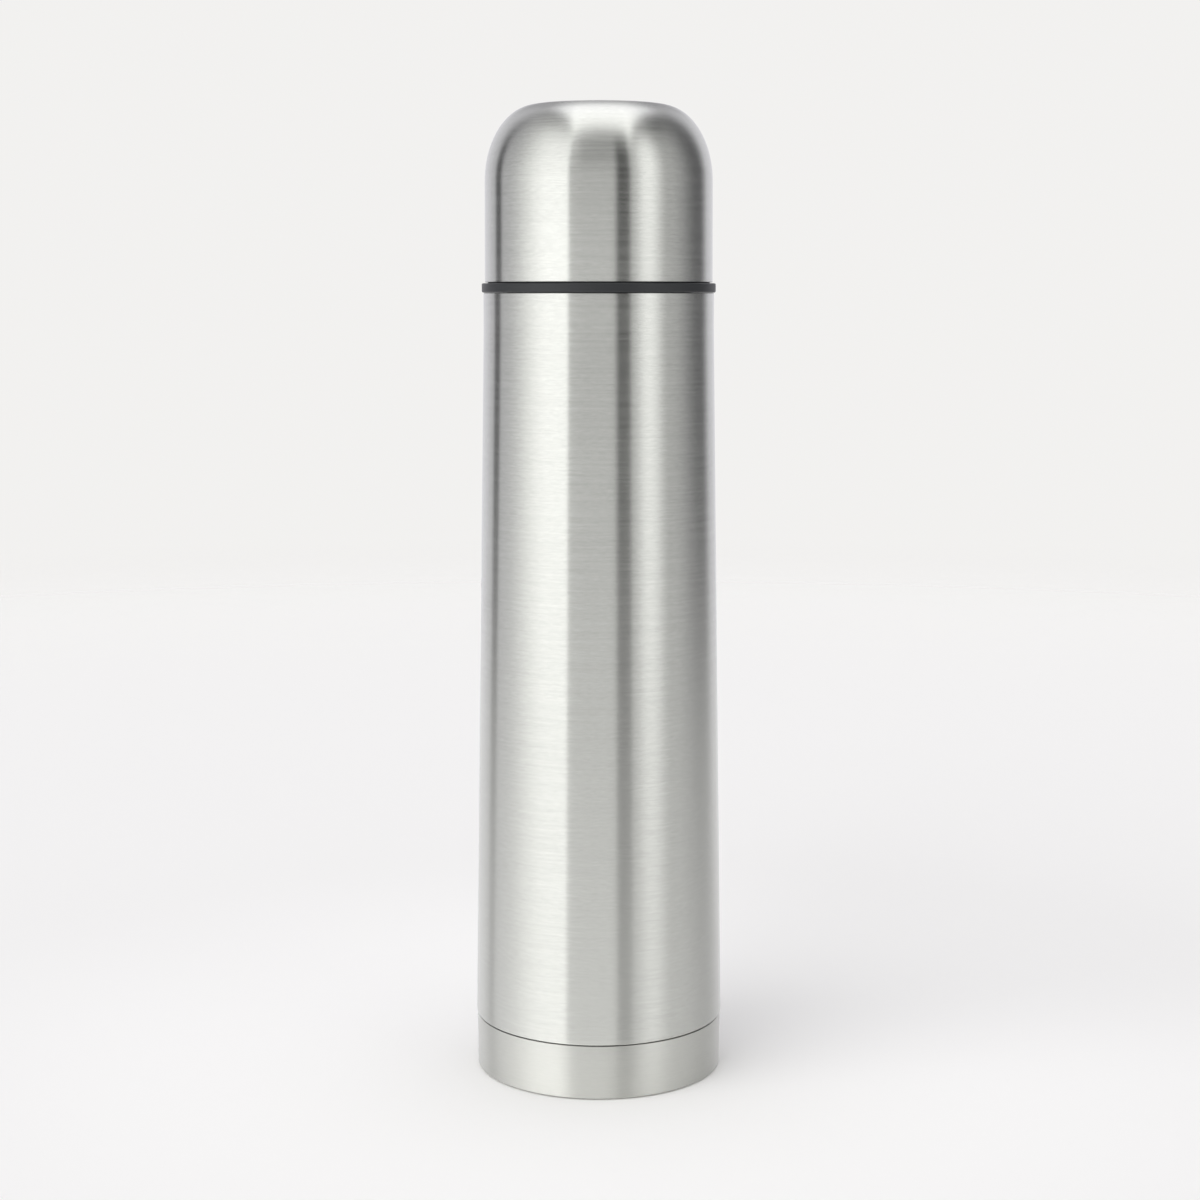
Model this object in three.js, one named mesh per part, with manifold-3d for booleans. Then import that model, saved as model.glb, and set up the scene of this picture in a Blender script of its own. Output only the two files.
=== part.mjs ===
// A stainless steel vacuum flask with a push-button pouring stopper and a screw-on cup.
// Millimetres, +Z up. The origin is on the flask's axis, on the surface that it stands on.
import * as THREE from 'three';
import { mergeVertices } from 'three/addons/utils/BufferGeometryUtils.js';
import Module from 'manifold-3d';

const wasm = await Module();
wasm.setup();

// Driving dimensions. R is a radius from the flask's axis and Z a height above its foot.
const HEIGHT = 318.5;
const GAP = 0.3; // left between pieces that touch
const THREAD_PITCH = 4;
const THREAD_ROOT_HALF = 1.1; // half the ridge's height at its root and at its crest
const THREAD_CREST_HALF = 0.5;

const BODY_FOOT_R = 41.25; // widest, just above the base cup
const BODY_TOP_R = 37.5;
const SEAM_Z = 18.3; // where the base cup meets the body
const TAPER_FOOT_Z = 19.7;
const TAPER_TOP_Z = 247;
const SHOULDER_Z = 258.3;
const SHOULDER_EDGE = 0.4; // rounding of the shoulder's outer edge
const SHELL_WALL = 0.5;
const SPIGOT_R = 39.8; // reduced lower end of the shell, inside the base cup
const SPIGOT_Z = 5;
const PUMPING_HOLE_R = 1;
const GETTER_X = 17;
const GETTER_Z = 11; // underside of its clip

const BASE_FOOT_R = 40.85;
const BASE_TOP_R = 41;
const BASE_WALL = 0.5;
const FOOT_RIM_R = 33.5; // inside edge of the flat rim that the flask stands on
const FOOT_RECESS = 1.6;

const NECK_R = 28.6; // outside of the neck, under the cup's thread
const STEP_Z = 277; // step that carries the cup's gasket
const MOUTH_R = 27.2; // outside of the neck above the step
const LIP_Z = 282; // drinking lip of the bottle
const NECK_THREAD_Z = 262; // middle of the ridge where a thread starts
const BORE_THREAD_Z = 264;
const BORE_R = 23.7; // inside of the mouth
const LEDGE_Z = 246; // seat of the stopper's gasket
const LEDGE_R = 19.8;

const VESSEL_WALL = 0.45;
const VACUUM_SPACE = 2.6;
const VESSEL_FLOOR_Z = 17;
const VESSEL_FOOT_Z = 25; // upper end of the rounded bottom
const VESSEL_WELD_Z = 28; // upper edge of the welded bottom
const VESSEL_TOP_Z = 224; // lower end of the rounded shoulder

const CUP_FOOT_R = 37;
const CUP_SIDE_R = 36.85; // where the dome starts
const CUP_FOOT_Z = 261.9;
const DOME_Z = 294;
const DOME_WIDTH = 16.3; // half axes of the dome's elliptical corner
const DOME_RISE = 24.3;
const CUP_WALL = 0.5;
const LINER_WALL = 0.45;
const LINER_SPACE = 2.3; // air gap between the cup's two skins
const LINER_Z = 276;
const CUP_GASKET = 1.5; // thickness
const RING_FLANGE_R = 38.05;
const RING_Z = 258.6;
const RING_FLANGE = 3;
const RING_TOP_Z = 280.6;
const RING_BORE_R = 30.5;
const RING_THREAD_Z = 264;
const LINER_GROOVE_R = 33; // groove in the ring for the liner's edge, inside and outside
const LINER_GROOVE_OUTER_R = 34.6;
const LINER_GROOVE_Z = 273.4;

const STOPPER_R = 21.9;
const STOPPER_INNER_R = 20.4;
const STOPPER_FOOT_Z = LEDGE_Z + 2.6;
const FLANGE_R = 27;
const FLANGE_Z = 282.4;
const FLANGE = 2;
const NOTCH_DEPTH = 6; // pouring notches, cut half way up through the flange
const NOTCH_WIDTH = 14;
const STOPPER_THREAD_Z = 266;
const WINDOW_Z = 257; // middle of the four pouring windows
const WINDOW_WIDTH = 9;
const WINDOW_HEIGHT = 6;
const STOPPER_GASKET = 2; // thickness
const CASE_R = 17.4;
const CASE_Z = 255;
const CASE_TOP_Z = 277;
const CASE_WALL = 1.2;
const SEAT_Z = 241.1; // foot of the valve's seat
const SEAT_R = 11.2; // its opening
const DISC_Z = 236.6;
const DISC_R = 15;
const COVER_TOP_Z = 295;
const BUTTON_R = 12.9;
const BUTTON_TOP_Z = 298.1;
const STEM_R = 2.4;
const STEM_BORE_R = 3;

const SPRING_COIL_R = 7.6;
const SPRING_WIRE_R = 0.45;
const SPRING_TURNS = 5;
const SPRING_FOOT_Z = 279.1;
const SPRING_TOP_Z = 294.5;

// Flat sides around a turned piece
const ROUND = 32;
const SMALL_ROUND = 24;
const THREAD_STEPS = 24; // in one turn

const STEEL = { color: 0xc4c4c2, metalness: 1, roughness: 0.32 };
const SATIN_STEEL = { color: 0xb4b4b2, metalness: 1, roughness: 0.45 };
const COPPER = { color: 0xb87250, metalness: 1, roughness: 0.4 };
const BLACK_PLASTIC = { color: 0x2a2b2c, metalness: 0, roughness: 0.55 };
const GREY_PLASTIC = { color: 0x8b8d8e, metalness: 0, roughness: 0.5 };
const SILICONE = { color: 0xd8d6d0, metalness: 0, roughness: 0.7 };
const FOAM = { color: 0xefeee8, metalness: 0, roughness: 0.95 };
const GLASS = { color: 0x6f7f78, metalness: 0, roughness: 0.2 };
const GETTER_METAL = { color: 0x5c5c5e, metalness: 0.6, roughness: 0.8 };

// --- Shapes -------------------------------------------------------------------------------

// A turned solid. A profile is a list of [radius, height] points with the material on its left:
// outside faces run upwards. It closes on itself, unless it starts and ends on the axis.
function turned(profile, segments = ROUND) {
  const loop = profile[0][0] === 0 ? profile : [...profile, profile[0]];
  const points = loop.map(([r, z]) => new THREE.Vector2(r, z));
  return new THREE.LatheGeometry(points, segments).rotateX(Math.PI / 2);
}

// A plain ring or tube
function ring(innerR, outerR, z0, z1, segments = SMALL_ROUND) {
  return turned([[innerR, z0], [outerR, z0], [outerR, z1], [innerR, z1]], segments);
}

// Points along a quarter ellipse, from its side up to its top
function corner(sideR, z, width, rise, steps) {
  const points = [];
  for (let i = 0; i <= steps; i += 1) {
    const angle = (Math.PI / 2) * (i / steps);
    points.push([sideR - width * (1 - Math.cos(angle)), z + rise * Math.sin(angle)]);
  }
  return points;
}

// The body's outside radius on its straight taper
function bodyRadius(z) {
  const share = (z - TAPER_FOOT_Z) / (TAPER_TOP_Z - TAPER_FOOT_Z);
  return BODY_FOOT_R + (BODY_TOP_R - BODY_FOOT_R) * share;
}

// A right-handed screw thread: a ridge with sloping flanks from rootR to crestR. The ridge is
// extruded straight, with its length as an angle, and then wound round the axis.
function thread(rootR, crestR, z, turns) {
  const rootHalf = THREAD_ROOT_HALF;
  const crestHalf = THREAD_CREST_HALF;
  const section = new THREE.Shape();
  const outline = [[-rootHalf, rootR], [rootHalf, rootR], [crestHalf, crestR], [-crestHalf, crestR]];
  section.setFromPoints(outline.map(([height, r]) => new THREE.Vector2(height, r)));
  const steps = Math.round(turns * THREAD_STEPS);
  const depth = turns * 2 * Math.PI;
  const geometry = new THREE.ExtrudeGeometry(section, { steps, depth, bevelEnabled: false });
  const place = geometry.attributes.position;
  for (let i = 0; i < place.count; i += 1) {
    const r = place.getY(i);
    const angle = place.getZ(i);
    const height = z + place.getX(i) + THREAD_PITCH * angle / (2 * Math.PI);
    place.setXYZ(i, r * Math.cos(angle), r * Math.sin(angle), height);
  }
  return geometry;
}

function box(width, depth, height, x, y, z) {
  return new THREE.BoxGeometry(width, depth, height).translate(x, y, z);
}

// A three.js geometry as a solid that can be cut and joined
function toSolid(geometry) {
  const bare = geometry.clone();
  bare.deleteAttribute('normal');
  bare.deleteAttribute('uv');
  const merged = mergeVertices(bare, 1e-5);
  const index = merged.index.array;
  const triangles = [];
  for (let i = 0; i < index.length; i += 3) {
    const [a, b, c] = index.slice(i, i + 3);
    if (a !== b && b !== c && c !== a) triangles.push(a, b, c);
  }
  return new wasm.Manifold(new wasm.Mesh({
    numProp: 3,
    vertProperties: new Float32Array(merged.attributes.position.array),
    triVerts: new Uint32Array(triangles),
  }));
}

function toGeometry(solid) {
  const mesh = solid.getMesh();
  const geometry = new THREE.BufferGeometry();
  geometry.setAttribute('position', new THREE.BufferAttribute(mesh.vertProperties, 3));
  geometry.setIndex(new THREE.BufferAttribute(mesh.triVerts, 1));
  return geometry;
}

function join(geometry, ...added) {
  return toGeometry(added.reduce((solid, piece) => solid.add(toSolid(piece)), toSolid(geometry)));
}

function cut(geometry, ...tools) {
  return toGeometry(tools.reduce((solid, tool) => solid.subtract(toSolid(tool)), toSolid(geometry)));
}

// --- The flask's body ---------------------------------------------------------------------

// Outer skin: spigot, tapered body, shoulder and threaded neck
function outerShell() {
  const wall = SHELL_WALL;
  const shell = turned([
    [SPIGOT_R, SPIGOT_Z],
    [SPIGOT_R, SEAM_Z - 0.1],
    [BODY_FOOT_R - 0.35, SEAM_Z + 0.1],
    [BODY_FOOT_R, TAPER_FOOT_Z],
    [BODY_TOP_R, TAPER_TOP_Z],
    ...corner(BODY_TOP_R, SHOULDER_Z - SHOULDER_EDGE, SHOULDER_EDGE, SHOULDER_EDGE, 2),
    [NECK_R + 1.5, SHOULDER_Z],
    [NECK_R, SHOULDER_Z + 1.5],
    [NECK_R, STEP_Z],
    [MOUTH_R, STEP_Z],
    [MOUTH_R, LIP_Z - 1 - GAP],
    [MOUTH_R - wall, LIP_Z - 1 - GAP],
    [MOUTH_R - wall, STEP_Z - wall],
    [NECK_R - wall, STEP_Z - wall],
    [NECK_R - wall, SHOULDER_Z + 1],
    [NECK_R + 1, SHOULDER_Z - wall],
    [BODY_TOP_R - 1, SHOULDER_Z - wall],
    [BODY_TOP_R - wall, SHOULDER_Z - 1],
    [BODY_TOP_R - wall, TAPER_TOP_Z],
    [BODY_FOOT_R - wall, TAPER_FOOT_Z],
    [SPIGOT_R - wall, SEAM_Z + 0.6],
    [SPIGOT_R - wall, SPIGOT_Z],
  ]);
  return join(shell, thread(NECK_R - 0.2, NECK_R + 1.2, NECK_THREAD_Z, 1.5));
}

// The inside bottle's outer radius
function vesselRadius(z) {
  return bodyRadius(z) - SHELL_WALL - VACUUM_SPACE;
}

// The bottle that holds the drink, with the stopper's thread inside its neck
function innerVessel() {
  const wall = VESSEL_WALL;
  const weldZ = VESSEL_WELD_Z + GAP;
  const topR = vesselRadius(VESSEL_TOP_Z);
  const vessel = turned([
    [vesselRadius(weldZ), weldZ],
    [topR, VESSEL_TOP_Z],
    [topR - 1.5, VESSEL_TOP_Z + 6],
    [topR - 5.2, VESSEL_TOP_Z + 11.3],
    [LEDGE_R + wall + 0.6, LEDGE_Z - 5.4],
    [LEDGE_R + wall, LEDGE_Z - 4],
    [LEDGE_R + wall, LEDGE_Z - 1.4],
    [BORE_R + wall, LEDGE_Z - 0.5],
    [BORE_R + wall, LIP_Z - 1],
    [MOUTH_R, LIP_Z - 1],
    [MOUTH_R, LIP_Z],
    [BORE_R, LIP_Z],
    [BORE_R, LEDGE_Z],
    [LEDGE_R, LEDGE_Z],
    [LEDGE_R, LEDGE_Z - 4.2],
    [LEDGE_R + 0.6, LEDGE_Z - 5.7],
    [topR - 5.2 - 0.7 * wall, VESSEL_TOP_Z + 11.3 - 0.8 * wall],
    [topR - wall - 1.4, VESSEL_TOP_Z + 5.7],
    [topR - wall, VESSEL_TOP_Z],
    [vesselRadius(weldZ) - wall, weldZ],
  ]);
  return join(vessel, thread(BORE_R + 0.2, BORE_R - 1.2, BORE_THREAD_Z, 2));
}

// Rounded bottom, welded to the lower edge of the inside bottle
function vesselBottom() {
  const wall = VESSEL_WALL;
  const footR = vesselRadius(VESSEL_FOOT_Z);
  const weldR = vesselRadius(VESSEL_WELD_Z);
  const depth = VESSEL_FOOT_Z - VESSEL_FLOOR_Z;
  const flip = (points) => points.map(([r, z]) => [r, 2 * VESSEL_FOOT_Z - z]).reverse();
  return turned([
    [0, VESSEL_FLOOR_Z],
    ...flip(corner(footR, VESSEL_FOOT_Z, 10, depth, 3)),
    [weldR, VESSEL_WELD_Z],
    [weldR - wall, VESSEL_WELD_Z],
    ...flip(corner(footR - wall, VESSEL_FOOT_Z, 10 - wall, depth - wall, 3)).reverse(),
    [0, VESSEL_FLOOR_Z + wall],
  ]);
}

// Reflective foil round the bottle, in the vacuum space
function foil() {
  const inside = (z) => vesselRadius(z) + GAP + 0.05;
  const low = VESSEL_FOOT_Z + 5;
  const high = VESSEL_TOP_Z - 4;
  const thickness = 0.2;
  return turned([
    [inside(low), low],
    [inside(low) + thickness, low],
    [inside(high) + thickness, high],
    [inside(high), high],
  ]);
}

// End plate that closes the vacuum space, dished up, with the pumping hole in a dimple
function outerBottom() {
  const rimR = SPIGOT_R - SHELL_WALL - GAP;
  const wall = SHELL_WALL;
  const flangeZ = SPIGOT_Z + 4;
  const dimpleZ = SPIGOT_Z + 3.2;
  const dishR = 26;
  const dishZ = SPIGOT_Z + 4.4;
  const middleZ = SPIGOT_Z + 5.2;
  return turned([
    [PUMPING_HOLE_R, dimpleZ],
    [5, dimpleZ],
    [8, middleZ],
    [dishR, dishZ],
    [rimR - 2.8, SPIGOT_Z],
    [rimR, SPIGOT_Z],
    [rimR, flangeZ],
    [rimR - wall, flangeZ],
    [rimR - wall, SPIGOT_Z + wall],
    [rimR - 2.6, SPIGOT_Z + wall],
    [dishR + 0.1, dishZ + wall],
    [7.8, middleZ + wall],
    [4.8, dimpleZ + wall],
    [PUMPING_HOLE_R, dimpleZ + wall],
  ], SMALL_ROUND);
}

// Glass bead that seals the pumping hole after the air is drawn out
function vacuumSeal() {
  const top = SPIGOT_Z + 3.2 - GAP;
  const bead = [[0, top - 1.7], [1.8, top - 1.6], [2.8, top - 0.9], [2.8, top - 0.3], [2.2, top], [0, top]];
  return turned(bead, 12);
}

// Pellet that takes up the last gas in the vacuum space
function getter() {
  const pellet = new THREE.CylinderGeometry(3.6, 3.6, 2.2, 16).rotateX(Math.PI / 2);
  return pellet.translate(GETTER_X, 0, GETTER_Z + 1.5);
}

// Spring clip over the getter, welded to the end plate by its two feet
function getterClip() {
  const t = 0.4;
  const half = 4.1;
  const foot = 7;
  const top = 3.4;
  const outline = [
    [-foot, 0], [-half, 0], [-half, top - t], [half, top - t], [half, 0], [foot, 0],
    [foot, t], [half + t, t], [half + t, top], [-half - t, top], [-half - t, t], [-foot, t],
  ];
  const section = new THREE.Shape(outline.map(([x, z]) => new THREE.Vector2(x, z)));
  const strip = new THREE.ExtrudeGeometry(section, { depth: 5, bevelEnabled: false });
  return strip.rotateX(Math.PI / 2).translate(GETTER_X, 2.5, GETTER_Z);
}

// Polished cap over the foot, with a recess inside the rim that it stands on
function baseCup() {
  const top = SEAM_Z - GAP;
  const wall = BASE_WALL;
  return turned([
    [0, FOOT_RECESS],
    [FOOT_RIM_R - 2.5, FOOT_RECESS],
    [FOOT_RIM_R, 0],
    [BASE_FOOT_R - 0.6, 0],
    [BASE_FOOT_R - 0.17, 0.17],
    [BASE_FOOT_R, 0.6],
    [BASE_TOP_R, top],
    [BASE_TOP_R - wall, top],
    [BASE_FOOT_R - wall, 1.1],
    [BASE_FOOT_R - 1.1, wall],
    [FOOT_RIM_R + 0.3, wall],
    [FOOT_RIM_R - 2.2, FOOT_RECESS + wall],
    [0, FOOT_RECESS + wall],
  ]);
}

// --- The stopper --------------------------------------------------------------------------

// Threaded outer body, with pouring windows below the thread and two notches under its flange
function stopperBody() {
  const body = turned([
    [CASE_R + 0.4, STOPPER_FOOT_Z],
    [STOPPER_R, STOPPER_FOOT_Z],
    [STOPPER_R, FLANGE_Z],
    [FLANGE_R, FLANGE_Z],
    [FLANGE_R, FLANGE_Z + FLANGE],
    [STOPPER_INNER_R, FLANGE_Z + FLANGE],
    [STOPPER_INNER_R, STOPPER_FOOT_Z + 1.8],
    [CASE_R + 0.4, STOPPER_FOOT_Z + 1.8],
  ], SMALL_ROUND);
  const threaded = join(body, thread(STOPPER_R - 0.2, STOPPER_R + 1.3, STOPPER_THREAD_Z, 1.5));
  const across = 2 * FLANGE_R + 2;
  const notchX = STOPPER_R + 0.2 + NOTCH_DEPTH / 2;
  const notchHeight = FLANGE + 0.4;
  return cut(
    threaded,
    box(across, WINDOW_WIDTH, WINDOW_HEIGHT, 0, 0, WINDOW_Z),
    box(WINDOW_WIDTH, across, WINDOW_HEIGHT, 0, 0, WINDOW_Z),
    box(NOTCH_DEPTH, NOTCH_WIDTH, notchHeight, notchX, 0, FLANGE_Z),
    box(NOTCH_DEPTH, NOTCH_WIDTH, notchHeight, -notchX, 0, FLANGE_Z),
  );
}

// Grip cover with the button's guide tube
function stopperCover() {
  const foot = FLANGE_Z + FLANGE + GAP;
  const holeR = BUTTON_R + 0.5;
  const top = COVER_TOP_Z;
  return turned([
    [FLANGE_R - 1.9, foot],
    [FLANGE_R - 0.2, foot],
    [FLANGE_R - 0.2, top - 2.4],
    [FLANGE_R - 0.9, top - 0.7],
    [FLANGE_R - 2.6, top],
    [holeR, top],
    [holeR, foot],
    [holeR + 1.4, foot],
    [holeR + 1.4, top - 1.6],
    [FLANGE_R - 2.8, top - 1.6],
    [FLANGE_R - 1.9, top - 2.5],
  ], SMALL_ROUND);
}

// Can in the middle of the stopper that holds the foam, with a tube for the valve stem
function coreCase() {
  const tubeR = STEM_BORE_R + 1.4;
  return turned([
    [STEM_BORE_R, CASE_Z],
    [CASE_R, CASE_Z],
    [CASE_R, CASE_TOP_Z],
    [CASE_R - CASE_WALL, CASE_TOP_Z],
    [CASE_R - CASE_WALL, CASE_Z + CASE_WALL],
    [tubeR, CASE_Z + CASE_WALL],
    [tubeR, CASE_TOP_Z],
    [STEM_BORE_R, CASE_TOP_Z],
  ], SMALL_ROUND);
}

// Deck that closes the can and the pouring channel, carries the spring and holds the stem seal
function coreLid() {
  const z = CASE_TOP_Z + GAP;
  return turned([
    [STEM_BORE_R, z],
    [STOPPER_INNER_R - 0.4, z],
    [STOPPER_INNER_R - 0.4, z + 1.5],
    [6.4, z + 1.5],
    [6.4, z + 3.7],
    [5.1, z + 3.7],
    [5.1, z + 1],
    [STEM_BORE_R, z + 1],
  ], SMALL_ROUND);
}

// Snap-in foot of the stopper, whose inner edge is the valve's seat
function valveSeat() {
  const outerR = CASE_R - 0.2;
  const top = SEAT_Z + 9.9;
  return turned([
    [SEAT_R, SEAT_Z],
    [outerR, SEAT_Z],
    [outerR, top],
    [outerR - CASE_WALL, top],
    [outerR - CASE_WALL, SEAT_Z + 1.4],
    [SEAT_R, SEAT_Z + 1.4],
  ], SMALL_ROUND);
}

function valveDisc() {
  return turned([
    [STEM_R + 0.4, DISC_Z],
    [DISC_R - 1, DISC_Z],
    [DISC_R, DISC_Z + 0.8],
    [DISC_R, DISC_Z + 2.1],
    [DISC_R - 5.7, DISC_Z + 2.1],
    [DISC_R - 6.4, DISC_Z + 3.6],
    [STEM_R + 0.4, DISC_Z + 3.6],
  ], SMALL_ROUND);
}

// Rod from the button down to the valve, with a groove for the clip near its foot
function valveStem() {
  const foot = DISC_Z - 3;
  const top = BUTTON_TOP_Z - 4.7;
  return turned([
    [0, foot],
    [STEM_R - 0.4, foot],
    [STEM_R, foot + 0.4],
    [STEM_R, foot + 1.2],
    [STEM_R - 0.5, foot + 1.2],
    [STEM_R - 0.5, foot + 2.6],
    [STEM_R, foot + 2.6],
    [STEM_R, top],
    [0, top],
  ], 16);
}

// Open ring that snaps into the stem's groove under the valve disc
function valveClip() {
  const innerR = STEM_R - 0.15;
  const outerR = STEM_R + 2.2;
  const opening = Math.PI / 6;
  const outline = new THREE.Shape();
  outline.absarc(0, 0, outerR, opening, 2 * Math.PI - opening, false);
  outline.absarc(0, 0, innerR, 2 * Math.PI - opening, opening, true);
  const plate = { depth: 0.7, bevelEnabled: false, curveSegments: 10 };
  return new THREE.ExtrudeGeometry(outline, plate).translate(0, 0, DISC_Z - 1.45);
}

function pushButton() {
  const top = BUTTON_TOP_Z;
  const underside = SPRING_TOP_Z + GAP;
  const skirt = top - 10.6;
  return turned([
    [0, top - 4.1],
    [STEM_R + 0.4, top - 4.1],
    [STEM_R + 0.4, top - 7.6],
    [5.2, top - 7.6],
    [5.2, underside],
    [BUTTON_R - 1.3, underside],
    [BUTTON_R - 1.3, skirt],
    [BUTTON_R, skirt],
    [BUTTON_R, top - 1.7],
    [BUTTON_R - 0.8, top - 0.8],
    [BUTTON_R - 6, top - 0.2],
    [0, top],
  ], SMALL_ROUND);
}

class SpringLine extends THREE.Curve {
  getPoint(t, target = new THREE.Vector3()) {
    const angle = t * SPRING_TURNS * 2 * Math.PI;
    const low = SPRING_FOOT_Z + SPRING_WIRE_R;
    const high = SPRING_TOP_Z - SPRING_WIRE_R;
    const z = low + (high - low) * t;
    return target.set(SPRING_COIL_R * Math.cos(angle), SPRING_COIL_R * Math.sin(angle), z);
  }
}

// Compression spring that lifts the button and shuts the valve
function buttonSpring() {
  const wire = new THREE.Shape();
  const sides = 5;
  for (let i = 0; i < sides; i += 1) {
    const angle = (2 * Math.PI * i) / sides;
    const x = SPRING_WIRE_R * Math.cos(angle);
    const y = SPRING_WIRE_R * Math.sin(angle);
    if (i === 0) wire.moveTo(x, y);
    else wire.lineTo(x, y);
  }
  const steps = SPRING_TURNS * 12;
  return new THREE.ExtrudeGeometry(wire, { steps, extrudePath: new SpringLine(), bevelEnabled: false });
}

// --- The cup ------------------------------------------------------------------------------

// The dome of one skin of the cup, `inset` inside the outer surface
function dome(inset, steps) {
  const side = CUP_SIDE_R - inset;
  return corner(side, DOME_Z, DOME_WIDTH - inset, DOME_RISE - inset, steps);
}

// A skin of the cup, from its open edge at `footZ` up to the crown
function cupSkin(inset, wall, footZ, footR) {
  const crown = HEIGHT - inset;
  return turned([
    [0, crown - wall],
    ...dome(inset + wall, 6).reverse(),
    [footR - wall, footZ],
    [footR, footZ],
    ...dome(inset, 6),
    [0, crown],
  ]);
}

function cupShell() {
  return cupSkin(0, CUP_WALL, CUP_FOOT_Z, CUP_FOOT_R);
}

function cupLiner() {
  const inset = CUP_WALL + LINER_SPACE;
  return cupSkin(inset, LINER_WALL, LINER_Z, CUP_SIDE_R - inset);
}

// Black rim of the cup: visible flange, inside thread, lip over the gasket, groove for the liner
function cupRimRing() {
  const flangeTop = RING_Z + RING_FLANGE;
  const lipR = NECK_R + GAP;
  const lipZ = STEP_Z + CUP_GASKET + 2 * GAP;
  const outerR = CUP_SIDE_R - CUP_WALL - GAP;
  const body = turned([
    [RING_BORE_R + 1, RING_Z],
    [RING_FLANGE_R - 0.5, RING_Z],
    [RING_FLANGE_R, RING_Z + 0.5],
    [RING_FLANGE_R, flangeTop - 0.4],
    [RING_FLANGE_R - 0.4, flangeTop],
    [outerR, flangeTop],
    [outerR, RING_TOP_Z - 1.2],
    [LINER_GROOVE_OUTER_R, RING_TOP_Z - 1.2],
    [LINER_GROOVE_OUTER_R, LINER_GROOVE_Z],
    [LINER_GROOVE_R, LINER_GROOVE_Z],
    [LINER_GROOVE_R, RING_TOP_Z],
    [lipR, RING_TOP_Z],
    [lipR, lipZ],
    [RING_BORE_R, lipZ],
    [RING_BORE_R, RING_Z + 1],
  ]);
  return join(body, thread(RING_BORE_R + 0.3, RING_BORE_R - 1.4, RING_THREAD_Z, 1));
}

// --- The assembly -------------------------------------------------------------------------

function piece(name, geometry, look) {
  const mesh = new THREE.Mesh(geometry, new THREE.MeshStandardMaterial(look));
  mesh.name = name;
  return mesh;
}

const flask = new THREE.Group();
flask.add(
  piece('outer_shell', outerShell(), STEEL),
  piece('inner_vessel', innerVessel(), SATIN_STEEL),
  piece('vessel_bottom', vesselBottom(), SATIN_STEEL),
  piece('copper_foil', foil(), COPPER),
  piece('outer_bottom', outerBottom(), SATIN_STEEL),
  piece('vacuum_seal', vacuumSeal(), GLASS),
  piece('getter', getter(), GETTER_METAL),
  piece('getter_clip', getterClip(), SATIN_STEEL),
  piece('base_cup', baseCup(), STEEL),
);

const gasketZ = LEDGE_Z + GAP;
const stopperGasket = ring(CASE_R + GAP, STOPPER_R + 0.1, gasketZ, gasketZ + STOPPER_GASKET);
const foamR = CASE_R - CASE_WALL - 0.4;
const coreFoam = ring(STEM_BORE_R + 1.8, foamR, CASE_Z + CASE_WALL + 0.4, CASE_TOP_Z - 0.4);
const stopper = new THREE.Group();
stopper.add(
  piece('stopper_gasket', stopperGasket, SILICONE),
  piece('stopper_body', stopperBody(), BLACK_PLASTIC),
  piece('stopper_cover', stopperCover(), BLACK_PLASTIC),
  piece('core_case', coreCase(), GREY_PLASTIC),
  piece('core_foam', coreFoam, FOAM),
  piece('core_lid', coreLid(), GREY_PLASTIC),
  piece('stem_seal', ring(STEM_R + 0.4, 4.7, CASE_TOP_Z + 1.6, CASE_TOP_Z + 3.6, 16), SILICONE),
  piece('valve_seat', valveSeat(), GREY_PLASTIC),
  piece('push_button', pushButton(), GREY_PLASTIC),
  piece('button_spring', buttonSpring(), SATIN_STEEL),
  piece('valve_stem', valveStem(), SATIN_STEEL),
  piece('valve_disc', valveDisc(), GREY_PLASTIC),
  piece('valve_seal', ring(DISC_R - 5.3, DISC_R - 0.6, DISC_Z + 2.4, DISC_Z + 4.2), SILICONE),
  piece('valve_clip', valveClip(), SATIN_STEEL),
);

const cup = new THREE.Group();
cup.add(
  piece('cup_gasket', ring(MOUTH_R + GAP, 30, STEP_Z + GAP, STEP_Z + GAP + CUP_GASKET, ROUND), SILICONE),
  piece('liner_seal', ring(33.4, 34.2, LINER_GROOVE_Z + 0.4, LINER_Z - 0.4, ROUND), SILICONE),
  piece('cup_liner', cupLiner(), SATIN_STEEL),
  piece('cup_shell', cupShell(), STEEL),
  piece('cup_rim_ring', cupRimRing(), BLACK_PLASTIC),
);

const vacuumFlask = new THREE.Group();
vacuumFlask.add(flask, stopper, cup);

export default vacuumFlask;
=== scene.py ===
"""The vacuum flask's looks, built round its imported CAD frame."""

import math

import bpy
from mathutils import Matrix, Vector


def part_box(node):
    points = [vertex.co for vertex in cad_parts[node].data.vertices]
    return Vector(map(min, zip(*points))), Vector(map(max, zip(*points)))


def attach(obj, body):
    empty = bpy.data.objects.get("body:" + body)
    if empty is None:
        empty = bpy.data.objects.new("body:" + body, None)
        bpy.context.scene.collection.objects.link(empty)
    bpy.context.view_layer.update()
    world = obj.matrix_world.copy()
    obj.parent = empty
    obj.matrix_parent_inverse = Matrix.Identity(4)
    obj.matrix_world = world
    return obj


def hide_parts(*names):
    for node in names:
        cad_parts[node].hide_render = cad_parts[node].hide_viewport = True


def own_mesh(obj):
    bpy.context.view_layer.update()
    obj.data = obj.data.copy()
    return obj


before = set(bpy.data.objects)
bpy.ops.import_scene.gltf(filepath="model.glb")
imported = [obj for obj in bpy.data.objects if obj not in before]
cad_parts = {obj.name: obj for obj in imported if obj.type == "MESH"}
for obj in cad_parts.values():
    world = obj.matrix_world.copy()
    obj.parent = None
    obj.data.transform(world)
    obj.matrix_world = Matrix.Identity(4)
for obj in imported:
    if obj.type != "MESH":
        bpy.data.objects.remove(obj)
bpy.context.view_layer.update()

MM = 0.001
TURN = 2 * math.pi
SEGMENTS = 192  # sides of a large turned piece
SMALL_SEGMENTS = 96
ARC_STEPS = 6  # in a rounded corner
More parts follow.
